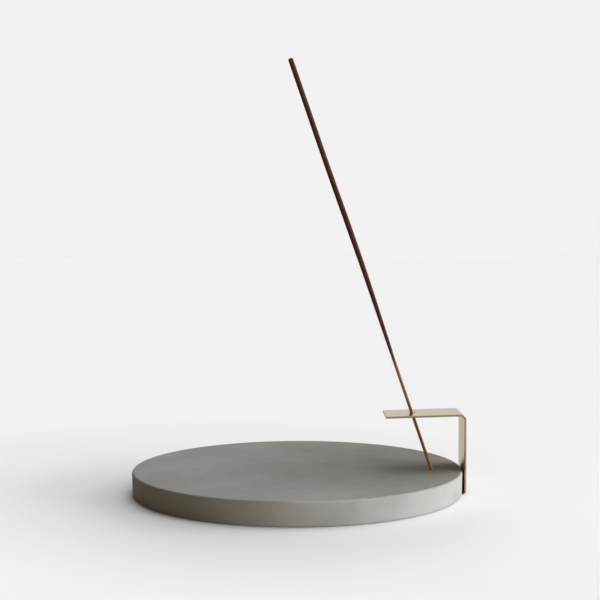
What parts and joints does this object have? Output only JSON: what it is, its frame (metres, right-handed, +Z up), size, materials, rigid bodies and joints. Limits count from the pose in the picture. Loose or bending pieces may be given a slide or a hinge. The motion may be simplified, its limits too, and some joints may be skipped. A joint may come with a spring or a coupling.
{
  "type": "incense stick holder",
  "caption": "Round concrete dish with a bent brass clip hooked on its edge, whose tab holds a leaning incense stick by a small hole.",
  "frame": {"origin": "middle of the felt's underside, on the table", "axes": "+Z up; +X from the middle towards the clip's back; the camera of the picture looks along +Y"},
  "size_m": [0.151, 0.15, 0.2057],
  "materials": {
    "concrete": "matt cast concrete",
    "felt": "pressed felt",
    "brass": "brushed satin",
    "bamboo": "dry split bamboo",
    "incense": "rough rolled paste"
  },
  "bodies": {
    "base": {"concrete_disc": "concrete", "felt_base": "felt"},
    "clip": {"brass_clip": "brass"},
    "stick": {"bamboo_core": "bamboo", "incense_coat": "incense"}
  },
  "joints": [
    {"name": "clip_draw_off", "type": "slide", "parent": "base", "child": "clip", "axis": [1, 0, 0], "range_m": [0, 0.045]},
    {"name": "stick_draw_out", "type": "slide", "parent": "clip", "child": "stick", "axis": [-0.2892, 0.3586, 0.8876], "range_m": [0, 0.04]}
  ]
}
